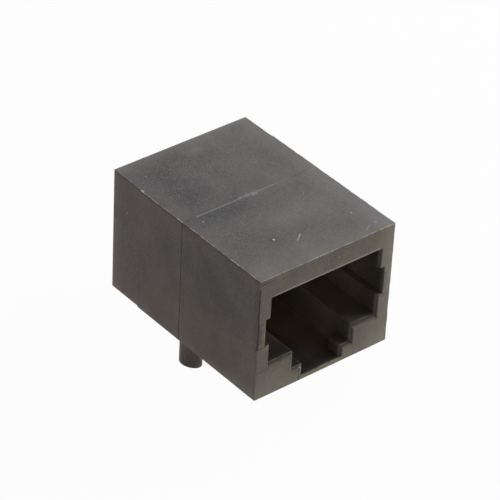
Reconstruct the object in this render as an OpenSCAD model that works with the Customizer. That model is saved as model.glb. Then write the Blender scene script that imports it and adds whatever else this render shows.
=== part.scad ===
// Right-angle board jack for a modular plug with eight contacts.
// The origin lies on the seating plane, midway between the two board posts.
// The mouth faces -Y, +X is to the right of someone looking into it, and +Z points up from the board.

/* [Housing] */
// Width of the housing
housing_w = 15.24; // [15:0.02:16.4]
// Height of the housing above the board
housing_h = 12.9; // [12.7:0.05:13.6]
// Depth of the housing from the mouth to the rear
housing_d = 20.9; // [20.6:0.05:22]
// Thickness of the roof over the contacts
roof_t = 0.95; // [0.7:0.05:1.1]
// Thickness of the side walls beside the contact carrier
side_wall_t = 1; // [0.8:0.05:1.1]
// Length of the relieved rear end of the side walls
relief_d = 4; // [3:0.1:5]
// Step inwards on each side at the relieved rear end
relief_step = 0.1; // [0.05:0.01:0.2]

/* [Plug cavity] */
// Width of the cavity for the plug
cavity_w = 12.2; // [11.9:0.05:12.4]
// Height of the cavity's ceiling above the board
ceiling_z = 10.65; // [10.5:0.05:10.8]
// Height of the two ledges that carry the plug
ledge_z = 3.5; // [3.3:0.05:3.8]
// Depth of the cavity from the mouth to the contact carrier
cavity_d = 12.4; // [12.2:0.05:12.8]
// Depth of the lintel over the mouth
lintel_d = 1.9; // [1.6:0.05:2]
// Radius of the cavity's upper corners
corner_r = 0.3; // [0.15:0.05:0.5]
// Widening of the mouth on each side
flare_w = 0.24; // [0.1:0.02:0.3]
// Depth over which the mouth and the latch slot widen
flare_d = 0.2; // [0.15:0.05:0.7]
// Drop of the ledges at the mouth
ledge_drop = 0.65; // [0.5:0.05:0.8]
// Depth over which the ledges and the keepers drop
ledge_drop_d = 0.25; // [0.2:0.05:0.5]

/* [Side grooves] */
// Width of the mouth measured across the two side grooves
side_groove_span = 13.48; // [13.2:0.02:13.7]
// Height of the side grooves' lower edge above the board
side_groove_z = 5.56; // [5:0.02:6]
// Height of the side grooves themselves
side_groove_h = 2.92; // [2.5:0.02:3.2]
// Depth of the side grooves from the mouth
side_groove_d = 8; // [6:0.5:10]

/* [Latch slot] */
// Width of the slot for the plug's latch
latch_w = 6.6; // [6.3:0.05:6.9]
// Height of the slot's floor above the board
latch_floor_z = 0.45; // [0.35:0.05:0.6]
// Gap between the two keepers that the latch catches behind
keeper_gap = 4.3; // [4:0.05:4.6]
// Height of the keepers above the board
keeper_z = 1.6; // [1.4:0.05:1.8]
// Drop of the keepers at the mouth
keeper_drop = 0.4; // [0.2:0.05:0.5]
// Thickness of the keepers from front to back
keeper_t = 1.7; // [1.4:0.05:2.2]
// Widening of the latch slot and of the keeper gap at the mouth, on each side
latch_flare = 0.34; // [0.2:0.02:0.4]

/* [Board posts] */
// Distance between the two board posts
post_pitch = 12.2; // [11.6:0.05:12.6]
// Distance from the mouth back to the board posts
post_setback = 10.8; // [10.4:0.05:11]
// Diameter of a board post
post_d = 2.14; // [1.9:0.02:2.3]
// Length of a board post along its axis
post_len = 3.2; // [3:0.02:3.8]
// Slope of a board post's end, lower on the inboard side
post_slope = 15; // [5:1:20]

/* [Contacts] */
// Width of a contact
contact_w = 0.46; // [0.4:0.02:0.5]
// Thickness of a contact
contact_t = 0.3; // [0.25:0.01:0.32]
// Spacing of the contacts in the plug cavity
spring_pitch = 1.02; // [1:0.01:1.06]
// Spacing of the solder tails, counted across both rows
tail_pitch = 1.27; // [1.24:0.01:1.3]
// Distance from the board posts to the first row of tails
tail_row_y = 6.35; // [6.1:0.05:6.5]
// Distance between the two rows of tails
tail_row_gap = 2.54; // [2.4:0.02:2.6]
// Length of the solder tails below the board's upper face
tail_len = 3.4; // [2.6:0.05:3.6]
// Slope of the spring arms
spring_slope = 27; // [24:1:29]
// Depth of the spring arms' free ends from the mouth
spring_reach = 11.7; // [11.4:0.05:11.9]
// Inner radius of the bend above the solder tails
bend_r = 0.4; // [0.3:0.02:0.5]
// Distance over which the contacts fan out from one spacing to the other
fan_len = 6; // [4:0.1:6.5]

/* [Contact carrier] */
// Width of the tongue that carries the contacts
tongue_w = 10; // [9.8:0.05:10.4]
// Thickness of the tongue under its grooves
tongue_t = 0.83; // [0.78:0.01:0.88]
// Depth of the tongue's rounded nose centre from the mouth
nose_y = 3.2; // [3.15:0.05:3.6]
// Width of the grooves and slots that hold the contacts
slot_w = 0.58; // [0.56:0.01:0.62]
// Distance that the comb stands forward of the carrier
comb_d = 1.4; // [1.2:0.05:1.6]
// Height of the comb's lower edge above the board
comb_z = 5.4; // [5:0.05:5.7]
// Distance from the carrier's rear face to the housing's rear
carrier_inset = 0.3; // [0.1:0.05:0.4]
// Height of the carrier's foot above the board
foot_z = 0.25; // [0.1:0.05:0.4]
// Length of the two cored pockets in the carrier's foot, from front to back
core_d = 2; // [1.6:0.05:2]
// Height of the cored pockets' roof above the board
core_top_z = 9.4; // [8:0.1:9.8]

/* [Rails and snaps] */
// Height of the guide rails' lower edge above the board
rail_z = 4.4; // [3.5:0.1:5]
// Height of the guide rails themselves
rail_h = 1.2; // [0.8:0.05:1.4]
// Distance that the guide rails stand in from the side walls
rail_w = 0.5; // [0.4:0.02:0.6]
// Height of the snaps' lower edge above the board
snap_z = 7.3; // [6.8:0.1:7.8]
// Height of the snaps themselves
snap_h = 1.8; // [1.2:0.1:2.2]
// Length of a snap from its catch to the end of its ramp
snap_len = 0.8; // [0.6:0.05:1]
// Distance that the snaps stand in from the side walls
snap_w = 0.22; // [0.15:0.01:0.25]
// Gap between the carrier and the housing on every side
carrier_gap = 0.05; // [0.03:0.01:0.07]

/* [Hidden] */
CONTACTS = 8;
$fn = 48;

// Overshoot of a cutting solid past the face that it opens
past = 0.1;
// Steps in the quarter arcs of the profiles
arc_steps = 8;

// Pocket for the carrier behind the cavity, and the ceiling's channel for its tongue
pocket_w = housing_w - 2 * side_wall_t;
pocket_top_z = housing_h - roof_t;
tongue_channel_w = tongue_w + 2 * carrier_gap;

// Carrier
carrier_w = pocket_w - 2 * carrier_gap;
carrier_top_z = pocket_top_z - carrier_gap;
carrier_rear = housing_d - carrier_inset;
tongue_z = ceiling_z + carrier_gap;
groove_floor_z = tongue_z + tongue_t;
nose_z = tongue_z + tongue_t / 2;
nose_r = tongue_t / 2;
nose_rib_r = nose_r + contact_t;
slot_gap = (slot_w - contact_w) / 2;
comb_w = CONTACTS * spring_pitch + slot_w;
core_y = (cavity_d + post_setback + tail_row_y - contact_t / 2 - core_d) / 2;
core_rib_w = 1.2;
core_wall_t = 1.3;
rail_stop = 2;
snap_catch = housing_d - relief_d + snap_len;
pocket_chamfer = 0.3;

// Contacts
nose_gap = 0.08;
bend_y = nose_y - nose_gap;
bend_outer_r = nose_r + contact_t;
fan_start = nose_y + 2;
tip_chamfer = 0.12;

function spring_x(i) = (i - (CONTACTS + 1) / 2) * spring_pitch;
function tail_x(i) = (i - (CONTACTS + 1) / 2) * tail_pitch;
function tail_y(i) = post_setback + tail_row_y + (i % 2 == 0 ? tail_row_gap : 0);
function polar(r, angle) = r * [cos(angle), sin(angle)];
function arc(centre, r, from, to, steps = arc_steps) =
    [for (k = [0:steps]) centre + polar(r, from + (to - from) * k / steps)];

// Everything inside measures depth from the mouth
module from_mouth() {
    translate([0, -post_setback, 0]) children();
}

// Extrudes a front view, drawn in width and height, back from one depth to another
module rearwards(from, to) {
    translate([0, to, 0]) rotate([90, 0, 0]) linear_extrude(to - from) children();
}

// Extrudes a side view, drawn in depth and height, across a width centred on x
module across(width, x = 0) {
    translate([x - width / 2, 0, 0]) rotate([90, 0, 90]) linear_extrude(width) children();
}

// Extrudes a plan view, drawn in width and depth, from one height to another
module upwards(from, to) {
    translate([0, 0, from]) linear_extrude(to - from) children();
}

module centred_block(width, depths, heights) {
    translate([-width / 2, depths[0], heights[0]])
        cube([width, depths[1] - depths[0], heights[1] - heights[0]]);
}

module both_sides() {
    for (side = [0, 1]) mirror([side, 0, 0]) children();
}

// Housing

module housing_shell() {
    difference() {
        centred_block(housing_w, [0, housing_d], [0, housing_h]);
        both_sides() {
            translate([housing_w / 2 - relief_step, housing_d - relief_d, -past])
                cube([relief_step + past, relief_d + past, housing_h + 2 * past]);
        }
    }
}

module cavity_section() {
    polygon(concat(
        [[-cavity_w / 2, ledge_z], [cavity_w / 2, ledge_z]],
        arc([cavity_w / 2 - corner_r, ceiling_z - corner_r], corner_r, 0, 90),
        arc([corner_r - cavity_w / 2, ceiling_z - corner_r], corner_r, 90, 180)
    ));
}

// Lip of an opening at the mouth: both sides widen, and the lower edge drops, towards the front
module lip(width, widening, levels, drop) {
    depth = max(flare_d, ledge_drop_d);
    front_half = width / 2 + widening * (1 + past / flare_d);
    front_level = levels[0] - drop * (1 + past / ledge_drop_d);
    intersection() {
        upwards(front_level, levels[1])
            polygon([
                [-front_half, -past],
                [front_half, -past],
                [width / 2, flare_d],
                [width / 2, depth],
                [-width / 2, depth],
                [-width / 2, flare_d]
            ]);
        across(2 * front_half)
            polygon([
                [-past, front_level],
                [ledge_drop_d, levels[0]],
                [depth, levels[0]],
                [depth, levels[1]],
                [-past, levels[1]]
            ]);
    }
}

module plug_cavity() {
    rearwards(-past, cavity_d + past) cavity_section();
    lip(cavity_w, flare_w, [ledge_z, ceiling_z], ledge_drop);
    centred_block(side_groove_span, [-past, side_groove_d], [side_groove_z, side_groove_z + side_groove_h]);
}

module latch_slot() {
    centred_block(latch_w, [keeper_t, cavity_d + past], [latch_floor_z, ledge_z + past]);
    centred_block(latch_w, [-past, keeper_t + past], [keeper_z, ledge_z + past]);
    centred_block(keeper_gap, [-past, keeper_t + past], [latch_floor_z, keeper_z + past]);
    lip(latch_w, latch_flare, [keeper_z, ledge_z], keeper_drop);
    lip(keeper_gap, latch_flare, [latch_floor_z, keeper_z], 0);
}

module carrier_pocket() {
    centred_block(pocket_w, [cavity_d, housing_d + past], [-past, pocket_top_z]);
    centred_block(tongue_channel_w, [lintel_d, cavity_d + past], [ceiling_z - past, pocket_top_z]);
    both_sides() {
        upwards(-past, pocket_top_z)
            polygon([
                [pocket_w / 2 - past, housing_d - pocket_chamfer],
                [pocket_w / 2, housing_d - pocket_chamfer],
                [pocket_w / 2 + pocket_chamfer + past, housing_d + past],
                [pocket_w / 2 - past, housing_d + past]
            ]);
    }
}

module guide_rail() {
    translate([pocket_w / 2 - rail_w, cavity_d, rail_z])
        cube([rail_w + past, housing_d - rail_stop - cavity_d, rail_h]);
}

module snap() {
    upwards(snap_z, snap_z + snap_h)
        polygon([
            [pocket_w / 2 + past, snap_catch],
            [pocket_w / 2 - snap_w, snap_catch],
            [pocket_w / 2 - snap_w, snap_catch + snap_len / 4],
            [pocket_w / 2, snap_catch + snap_len],
            [pocket_w / 2 + past, snap_catch + snap_len]
        ]);
}

// Round post with a sloping end, drawn for the -X side
module board_post() {
    end_drop = post_d / 2 * tan(post_slope);
    translate([-post_pitch / 2, post_setback, 0])
        difference() {
            translate([0, 0, -post_len - end_drop]) cylinder(d = post_d, h = post_len + end_drop + past);
            translate([0, 0, -post_len]) rotate([0, post_slope, 0])
                translate([-post_d, -post_d, -post_d]) cube([2 * post_d, 2 * post_d, post_d]);
        }
}

module housing() {
    color("#4b4643") from_mouth() {
        difference() {
            housing_shell();
            plug_cavity();
            latch_slot();
            carrier_pocket();
        }
        both_sides() {
            guide_rail();
            snap();
            board_post();
        }
    }
}

// Contact carrier

// Side view of the tongue under its grooves, with the round nose that the contacts bend around
module tongue_section() {
    polygon(concat(
        arc([nose_y, nose_z], nose_r, 90, 270, 2 * arc_steps),
        [[cavity_d + past, tongue_z], [cavity_d + past, groove_floor_z]]
    ));
}

// Rib between two contacts, around the nose
module nose_rib_section() {
    polygon(concat(
        arc([nose_y, nose_z], nose_rib_r, 90, 180 + asin(nose_r / nose_rib_r), 2 * arc_steps),
        [[nose_y, tongue_z], [nose_y + nose_r, tongue_z], [nose_y + nose_r, nose_z + nose_rib_r]]
    ));
}

// Plan view of a contact's run along the tongue, as wide as asked
module run_plan(i, width, from, to) {
    half = width / 2;
    fan_end = fan_start + fan_len;
    polygon([
        [spring_x(i) - half, from],
        [spring_x(i) + half, from],
        [spring_x(i) + half, fan_start],
        [tail_x(i) + half, fan_end],
        [tail_x(i) + half, to],
        [tail_x(i) - half, to],
        [tail_x(i) - half, fan_end],
        [spring_x(i) - half, fan_start]
    ]);
}

module tongue() {
    across(tongue_w) tongue_section();
    centred_block(tongue_w, [nose_y, cavity_d + past], [groove_floor_z, carrier_top_z]);
    for (k = [0:CONTACTS]) {
        across(spring_pitch - slot_w, (k - CONTACTS / 2) * spring_pitch) nose_rib_section();
    }
}

// Slot in the rear block, with a chamfer under the contact's bend
module tail_slot(i) {
    seat_y = tail_y(i) - contact_t / 2;
    across(slot_w, tail_x(i))
        polygon([
            [seat_y, -past],
            [carrier_rear + past, -past],
            [carrier_rear + past, housing_h],
            [seat_y - bend_r, housing_h],
            [seat_y - bend_r, groove_floor_z],
            [seat_y, groove_floor_z - bend_r]
        ]);
}

module comb_slot(i) {
    translate([spring_x(i) - slot_w / 2, cavity_d - comb_d - past, comb_z - past])
        cube([slot_w, comb_d + past, tongue_z - comb_z + past]);
}

module cored_pocket() {
    translate([core_rib_w / 2, core_y, foot_z - past])
        cube([(carrier_w - core_rib_w) / 2 - rail_w - core_wall_t, core_d, core_top_z - foot_z + past]);
}

module rail_groove() {
    translate([pocket_w / 2 - rail_w - carrier_gap, cavity_d - past, rail_z - carrier_gap])
        cube([rail_w + past, housing_d - cavity_d + 2 * past, rail_h + 2 * carrier_gap]);
}

module snap_notch() {
    translate([pocket_w / 2 - snap_w - carrier_gap, snap_catch - carrier_gap, snap_z - carrier_gap])
        cube([snap_w + past, snap_len + 2 * carrier_gap, snap_h + 2 * carrier_gap]);
}

module contact_carrier() {
    color("#2b2826") from_mouth() difference() {
        union() {
            tongue();
            centred_block(carrier_w, [cavity_d, carrier_rear], [foot_z, carrier_top_z]);
            centred_block(comb_w, [cavity_d - comb_d, cavity_d + past], [comb_z, tongue_z + past]);
        }
        for (i = [1:CONTACTS]) {
            upwards(groove_floor_z, housing_h) run_plan(i, slot_w, nose_y - past, tail_y(i));
            tail_slot(i);
            comb_slot(i);
        }
        both_sides() {
            cored_pocket();
            rail_groove();
            snap_notch();
        }
    }
}

// Contacts

// Side view of the spring arm, the bend round the nose and the start of the run
module spring_section() {
    lift = 90 - spring_slope;
    inner_end = [bend_y, nose_z] + polar(nose_r, 180 + lift);
    outer_end = [bend_y, nose_z] + polar(bend_outer_r, 180 + lift);
    along = [cos(spring_slope), -sin(spring_slope)];
    arm = (spring_reach - outer_end[0]) / cos(spring_slope);
    polygon(concat(
        [[fan_start, nose_z + nose_r]],
        arc([bend_y, nose_z], nose_r, 90, 180 + lift, 2 * arc_steps),
        [inner_end + along * (arm - contact_t), outer_end + along * arm],
        arc([bend_y, nose_z], bend_outer_r, 180 + lift, 90, 2 * arc_steps),
        [[fan_start, nose_z + bend_outer_r]]
    ));
}

// Side view of the bend above the solder tail and of the tail
module tail_section(i) {
    front = tail_y(i) - contact_t / 2;
    rear = tail_y(i) + contact_t / 2;
    centre = [front - bend_r, groove_floor_z - bend_r];
    polygon(concat(
        [[fan_start + fan_len, groove_floor_z]],
        arc(centre, bend_r, 90, 0),
        [[front, tip_chamfer * 2 - tail_len], [front + tip_chamfer, -tail_len]],
        [[rear - tip_chamfer, -tail_len], [rear, tip_chamfer * 2 - tail_len]],
        arc(centre, bend_r + contact_t, 0, 90),
        [[fan_start + fan_len, groove_floor_z + contact_t]]
    ));
}

module contact(i) {
    color("#c9a14a") from_mouth() {
        across(contact_w, spring_x(i)) spring_section();
        upwards(groove_floor_z, groove_floor_z + contact_t)
            run_plan(i, contact_w, fan_start, fan_start + fan_len);
        across(contact_w, tail_x(i)) tail_section(i);
    }
}

housing();
contact_carrier();
for (i = [1:CONTACTS]) {
    contact(i);
}
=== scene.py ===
import logging
import math
from dataclasses import dataclass, field
from enum import Enum
from typing import Iterable, Optional, Union

import bmesh
import bpy
from mathutils import Matrix, Vector, noise


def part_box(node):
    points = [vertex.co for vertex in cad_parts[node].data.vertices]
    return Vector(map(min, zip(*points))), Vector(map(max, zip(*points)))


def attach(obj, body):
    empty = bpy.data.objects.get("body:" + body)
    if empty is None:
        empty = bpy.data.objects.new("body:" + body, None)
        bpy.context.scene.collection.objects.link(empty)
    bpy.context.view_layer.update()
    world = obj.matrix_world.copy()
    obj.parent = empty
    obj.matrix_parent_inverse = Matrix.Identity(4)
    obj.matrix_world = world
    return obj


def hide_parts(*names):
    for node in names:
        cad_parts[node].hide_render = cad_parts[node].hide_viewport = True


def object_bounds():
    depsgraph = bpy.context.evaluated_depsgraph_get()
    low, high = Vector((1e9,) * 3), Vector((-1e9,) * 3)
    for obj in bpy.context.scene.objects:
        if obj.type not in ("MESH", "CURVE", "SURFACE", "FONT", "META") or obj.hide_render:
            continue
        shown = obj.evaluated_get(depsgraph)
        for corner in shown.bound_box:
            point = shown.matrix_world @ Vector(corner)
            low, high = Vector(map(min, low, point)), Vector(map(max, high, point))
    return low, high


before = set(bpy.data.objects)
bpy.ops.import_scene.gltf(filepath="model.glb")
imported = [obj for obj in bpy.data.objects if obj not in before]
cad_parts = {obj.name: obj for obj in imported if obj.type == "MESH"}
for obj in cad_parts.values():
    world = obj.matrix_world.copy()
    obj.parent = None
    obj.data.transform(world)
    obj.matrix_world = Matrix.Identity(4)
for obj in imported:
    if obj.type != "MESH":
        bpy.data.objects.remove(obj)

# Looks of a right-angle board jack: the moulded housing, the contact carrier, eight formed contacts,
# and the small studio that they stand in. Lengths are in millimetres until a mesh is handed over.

log = logging.getLogger("board_jack")

MM = 0.001
CAD_BOX = [list(corner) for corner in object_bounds()]
LOWEST = Vector(CAD_BOX[0]) / MM
HIGHEST = Vector(CAD_BOX[1]) / MM
CARRIER_NODE = "contact_carrier"
CONTACT_NODES = sorted(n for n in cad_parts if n.startswith("contact_") and n != CARRIER_NODE)

# Layers that a mesh carries for its material.
WORN_AND_HIGHLIT_EDGE = "worn_and_highlit_edge"
WALL_TONE_AND_LIGHT = "wall_tone_and_painted_light"
PAINTED_SHADE_LAYER = "painted_mouth_shade"

# Turns between two faces, in radians.
EVEN_TURN = 0.001  # up to here an edge lies within a flat wall
FLAT_TURN = math.radians(0.5)  # up to here the faces are merged
CRISP_TURN = math.radians(17)  # up to here two faces that show no wear or painted highlight are shaded as one surface
SMOOTH_TURN = math.radians(50)  # up to here any other two are
SHARP_TURN = math.radians(40)  # past here a convex edge is rounded

# Rise of its normal past which a face looks up.
LOOKS_UP = 0.5

# Distances up to which two places are one, a vertex lies on a wall, and a vertex lies on a cut.
SAME_PLACE = 0.0001
ON_WALL = 0.001
ON_CUT = 0.012

ORIGIN = (0.0, 0.0, 0.0)
BLACK = (0.0, 0.0, 0.0)
WHITE = (1.0, 1.0, 1.0)

Socket = bpy.types.NodeSocket
Feed = Union[Socket, float, tuple]


class Axis(Enum):
    """The three directions of the part's frame."""

    X = 0
    Y = 1
    Z = 2

    @property
    def direction(self) -> Vector:
        """Unit vector along the axis."""
        return Vector([1.0 if i == self.value else 0.0 for i in range(3)])


class Wall(Enum):
    """Outer walls of the part: the way each faces and the two axes that places on it are given along."""

    ROOF = (Vector((0, 0, 1)), Axis.X, Axis.Y)
    LEFT = (Vector((-1, 0, 0)), Axis.Y, Axis.Z)
    FRONT = (Vector((0, -1, 0)), Axis.X, Axis.Z)

    def share(self, normal: Vector) -> float:
        """Share of a surface that belongs to this wall, from its normal."""
        return max(0.0, self.value[0].dot(normal)) ** 2

    def spot(self, place: Vector) -> tuple:
        """The two coordinates of a place along this wall."""
        return tuple(place[axis.value] for axis in self.value[1:])

    def on(self, spot: tuple) -> tuple:
        """The place on this wall that has two given coordinates along it.

        Args:
            spot: The two coordinates.

        Returns:
            The place.
        """
        place = [high if facing > 0 else low for facing, low, high in zip(self.value[0], LOWEST, HIGHEST)]
        for axis, value in zip(self.value[1:], spot):
            place[axis.value] = value
        return tuple(place)

    @property
    def squash(self) -> tuple:
        """Weights that make a place just under this wall count as on it."""
        return tuple(0.2 if abs(facing) > 0.5 else 1.0 for facing in self.value[0])


# -- Shader wiring -------------------------------------------


class Wiring:
    """Adds and joins nodes in one node tree."""

    def __init__(self, tree: bpy.types.NodeTree) -> None:
        """Keeps the node tree of a material, a world or a node group."""
        self.tree = tree

    def feed(self, socket: Socket, value: Feed) -> None:
        """Links a socket to another, or sets its value.

        Args:
            socket: Input to feed.
            value: Output socket to link from, or a plain value.
        """
        if isinstance(value, bpy.types.NodeSocket):
            self.tree.links.new(value, socket)
        elif socket.type == "RGBA":
            socket.default_value = (*value, 1.0)
        else:
            socket.default_value = value

    def add(self, kind: str, *values: Feed, **settings: object) -> bpy.types.Node:
        """Adds one node.

        Args:
            kind: Blender's name of the node type.
            *values: Its first inputs, in order.
            **settings: Properties of the node.

        Returns:
            The new node.
        """
        node = self.tree.nodes.new(kind)
        for name, value in settings.items():
            setattr(node, name, value)
        for socket, value in zip(node.inputs, values):
            self.feed(socket, value)
        return node

    def fill(self, node: bpy.types.Node, **values: Feed) -> bpy.types.Node:
        """Feeds a node's inputs by name.

        Args:
            node: The node.
            **values: Its inputs, with underscores for spaces.

        Returns:
            The same node.
        """
        for name, value in values.items():
            self.feed(node.inputs[name.replace("_", " ")], value)
        return node

    def math(self, operation: str, *values: Feed, clamp: bool = False) -> Socket:
        """Result of a Math node, kept between 0 and 1 if it is clamped."""
        return self.add("ShaderNodeMath", *values, operation=operation, use_clamp=clamp).outputs[0]

    def vector(self, operation: str, *values: Feed, result: str = "Vector") -> Socket:
        """One result of a Vector Math node, by name."""
        return self.add("ShaderNodeVectorMath", *values, operation=operation).outputs[result]

    def ramp(self, value: Feed, low: Feed, high: Feed, start: Feed = 0.0, end: Feed = 1.0) -> Socket:
        """Smooth step that gives start where the value is low and end where it is high."""
        node = self.add("ShaderNodeMapRange", value, low, high, start, end, interpolation_type="SMOOTHSTEP")
        return node.outputs["Result"]

    def mix(self, share: Feed, first: Feed, second: Feed) -> Socket:
        """Mixes two colours. A Mix node has sockets for every type, and those of its colours are numbered.

        Args:
            share: Share of the second colour.
            first: First colour.
            second: Second colour.

        Returns:
            The mixed colour's socket.
        """
        node = self.add("ShaderNodeMix", share, data_type="RGBA")
        self.feed(node.inputs[6], first)
        self.feed(node.inputs[7], second)
        return node.outputs[2]

    def noise(self, place: Feed, scale: Feed, detail: float = 2.0, rough: float = 0.5) -> Socket:
        """Noise round 0.5: scale is its waves in a millimetre, and detail and rough its finer octaves."""
        node = self.add("ShaderNodeTexNoise")
        return self.fill(node, Vector=place, Scale=scale, Detail=detail, Roughness=rough).outputs["Fac"]

    def cloud(self, place: Feed, scale: Feed, detail: float, rough: float) -> Socket:
        """The same noise stretched to a tone that lies mostly between -1 and 1."""
        return self.math("MULTIPLY_ADD", self.noise(place, scale, detail, rough), 4.0, -2.0)

    def joined(self, x: Feed, y: Feed, z: Feed = 0.0) -> Socket:
        """Vector with three given parts."""
        return self.add("ShaderNodeCombineXYZ", x, y, z).outputs[0]

    def parts(self, vector: Feed) -> tuple:
        """The three parts of a vector."""
        return tuple(self.add("ShaderNodeSeparateXYZ", vector).outputs)

    def place(self) -> Socket:
        """Place on the piece in millimetres, from its Object coordinates."""
        metres = self.add("ShaderNodeTexCoord").outputs["Object"]
        return self.fill(self.add("ShaderNodeMapping", metres), Scale=(1 / MM,) * 3).outputs["Vector"]

    def layer(self, name: str) -> Socket:
        """Value that the mesh carries in one of its layers."""
        return self.add("ShaderNodeAttribute", attribute_name=name).outputs["Fac"]

    def effect(self, group: bpy.types.NodeTree, **values: Feed) -> bpy.types.NodeOutputs:
        """Outputs of an effect's node group, placed with its own inputs."""
        return self.fill(self.add("ShaderNodeGroup", node_tree=group), **values).outputs


class Effect(Wiring):
    """A shader node group with named inputs and outputs. Its first input is the place on the piece."""

    def __init__(self, name: str, inputs: dict, outputs: Iterable[str]) -> None:
        """Makes the empty group.

        Args:
            name: Name of the effect.
            inputs: Default value of each further input, a number or a vector, by name.
            outputs: Names of the outputs, all plain values.
        """
        super().__init__(bpy.data.node_groups.new(name, "ShaderNodeTree"))
        for title, value in {"Place": ORIGIN, **inputs}.items():
            kind = "NodeSocketVector" if isinstance(value, tuple) else "NodeSocketFloat"
            socket = self.tree.interface.new_socket(title, in_out="INPUT", socket_type=kind)
            socket.default_value = value
        for title in outputs:
            self.tree.interface.new_socket(title, in_out="OUTPUT", socket_type="NodeSocketFloat")
        self.given = self.add("NodeGroupInput").outputs
        self.result = self.add("NodeGroupOutput").inputs

    def give(self, title: str, value: Socket) -> None:
        """Feeds one of the group's outputs."""
        self.feed(self.result[title], value)


def mottle_effect() -> bpy.types.NodeTree:
    """Cloudy tone left by uneven cooling and handling.

    Returns:
        Group that gives Tone, from -1 to 1.
    """
    effect = Effect("mottle", {"Size": 1.0, "Finer": 0.5}, ["Tone"])
    given = effect.given
    broad = effect.cloud(given["Place"], effect.math("DIVIDE", 1.0, given["Size"]), 2.0, 0.5)
    fine = effect.cloud(given["Place"], effect.math("DIVIDE", 5.0, given["Size"]), 3.0, 0.6)
    total = effect.math("MULTIPLY_ADD", fine, given["Finer"], broad)
    effect.give("Tone", effect.math("MAXIMUM", effect.math("MINIMUM", total, 1.0), -1.0))
    return effect.tree


def grain_effect() -> bpy.types.NodeTree:
    """Fine spark-eroded texture copied from the mould.

    Returns:
        Group that gives Height and Fleck, both about 0 to 1.
    """
    effect = Effect("mould_grain", {"Size": 0.1}, ["Height", "Fleck"])
    given = effect.given
    scale = effect.math("DIVIDE", 1.0, given["Size"])
    pits = effect.add("ShaderNodeTexVoronoi", feature="SMOOTH_F1")
    effect.fill(pits, Vector=given["Place"], Scale=scale, Smoothness=0.6)
    cloud = effect.noise(given["Place"], scale, 3.0, 0.6)
    effect.give("Height", effect.math("MULTIPLY_ADD", pits.outputs["Distance"], 0.6, cloud))
    effect.give("Fleck", effect.ramp(cloud, 0.35, 0.7))
    return effect.tree


def mark_effect() -> bpy.types.NodeTree:
    """One straight scratch, rubbed spot, painted highlight line or painted shade line between two places,
    with a ragged edge.

    Returns:
        Group that gives Mask, 1 in the mark and 0 outside it.
    """
    inputs = {"Start": ORIGIN, "End": (1.0, 0.0, 0.0), "Squash": (1.0, 1.0, 1.0), "Half Width": 0.05}
    effect = Effect("fine_mark", inputs, ["Mask"])
    given = effect.given
    squash = given["Squash"]
    from_start = effect.vector("MULTIPLY", effect.vector("SUBTRACT", given["Place"], given["Start"]), squash)
    along = effect.vector("MULTIPLY", effect.vector("SUBTRACT", given["End"], given["Start"]), squash)
    reach = effect.vector("DOT_PRODUCT", from_start, along, result="Value")
    whole = effect.vector("DOT_PRODUCT", along, along, result="Value")
    share = effect.math("DIVIDE", reach, effect.math("MAXIMUM", whole, 1e-6), clamp=True)
    scaled = effect.add("ShaderNodeVectorMath", along, operation="SCALE")
    nearest = effect.fill(scaled, Scale=share).outputs["Vector"]
    away = effect.vector("DISTANCE", from_start, nearest, result="Value")
    ragged = effect.math("MULTIPLY_ADD", effect.noise(given["Place"], 14.0), 0.9, 0.55)
    limit = effect.math("MULTIPLY", given["Half Width"], ragged)
    effect.give("Mask", effect.ramp(effect.math("DIVIDE", away, limit), 0.55, 1.0, 1.0, 0.0))
    return effect.tree


def speck_effect() -> bpy.types.NodeTree:
    """Scattered specks of pale dust.

    Returns:
        Group that gives Mask, 1 in a speck.
    """
    effect = Effect("dust_specks", {"Spacing": 1.0, "Share": 0.2, "Radius": 0.05}, ["Mask"])
    given = effect.given
    cells = effect.add("ShaderNodeTexVoronoi", feature="F1")
    effect.fill(cells, Vector=given["Place"], Scale=effect.math("DIVIDE", 1.0, given["Spacing"]))
    away = effect.math("MULTIPLY", cells.outputs["Distance"], given["Spacing"])
    chosen = effect.math("LESS_THAN", effect.parts(cells.outputs["Color"])[0], given["Share"])
    shape = effect.ramp(away, effect.math("MULTIPLY", given["Radius"], 0.4), given["Radius"], 1.0, 0.0)
    effect.give("Mask", effect.math("MULTIPLY", shape, chosen))
    return effect.tree


def wear_and_highlight_effect() -> bpy.types.NodeTree:
    """Rubbed edges that carry a painted highlight, broken up along their length.

    Returns:
        Group that gives Mask from the amount of wear and painted highlight at the edge.
    """
    effect = Effect("edge_wear_and_highlight", {"Edge": 0.0, "Spacing": 1.0, "Cover": 0.5}, ["Mask"])
    given = effect.given
    broken = effect.noise(given["Place"], effect.math("DIVIDE", 1.0, given["Spacing"]), 4.0, 0.65)
    limit = effect.math("SUBTRACT", 1.0, given["Cover"])
    kept = effect.ramp(broken, effect.math("SUBTRACT", limit, 0.1), effect.math("ADD", limit, 0.1), 0.2, 1.0)
    effect.give("Mask", effect.math("MULTIPLY", kept, given["Edge"]))
    return effect.tree


def streak_effect() -> bpy.types.NodeTree:
    """Faint flow lines and wiping marks that run along the depth and wander a little.

    Returns:
        Group that gives Tone, from about -1 to 1.
    """
    effect = Effect("flow_streaks", {"Width": 0.5, "Length": 4.0}, ["Tone"])
    given = effect.given
    x, y, z = effect.parts(given["Place"])
    wandering = effect.math("MULTIPLY_ADD", effect.noise(given["Place"], 0.35), 1.6, x)
    stretched = effect.joined(
        effect.math("DIVIDE", wandering, given["Width"]),
        effect.math("DIVIDE", y, given["Length"]),
        effect.math("DIVIDE", z, given["Length"]),
    )
    effect.give("Tone", effect.cloud(stretched, 1.0, 3.0, 0.6))
    return effect.tree


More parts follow.
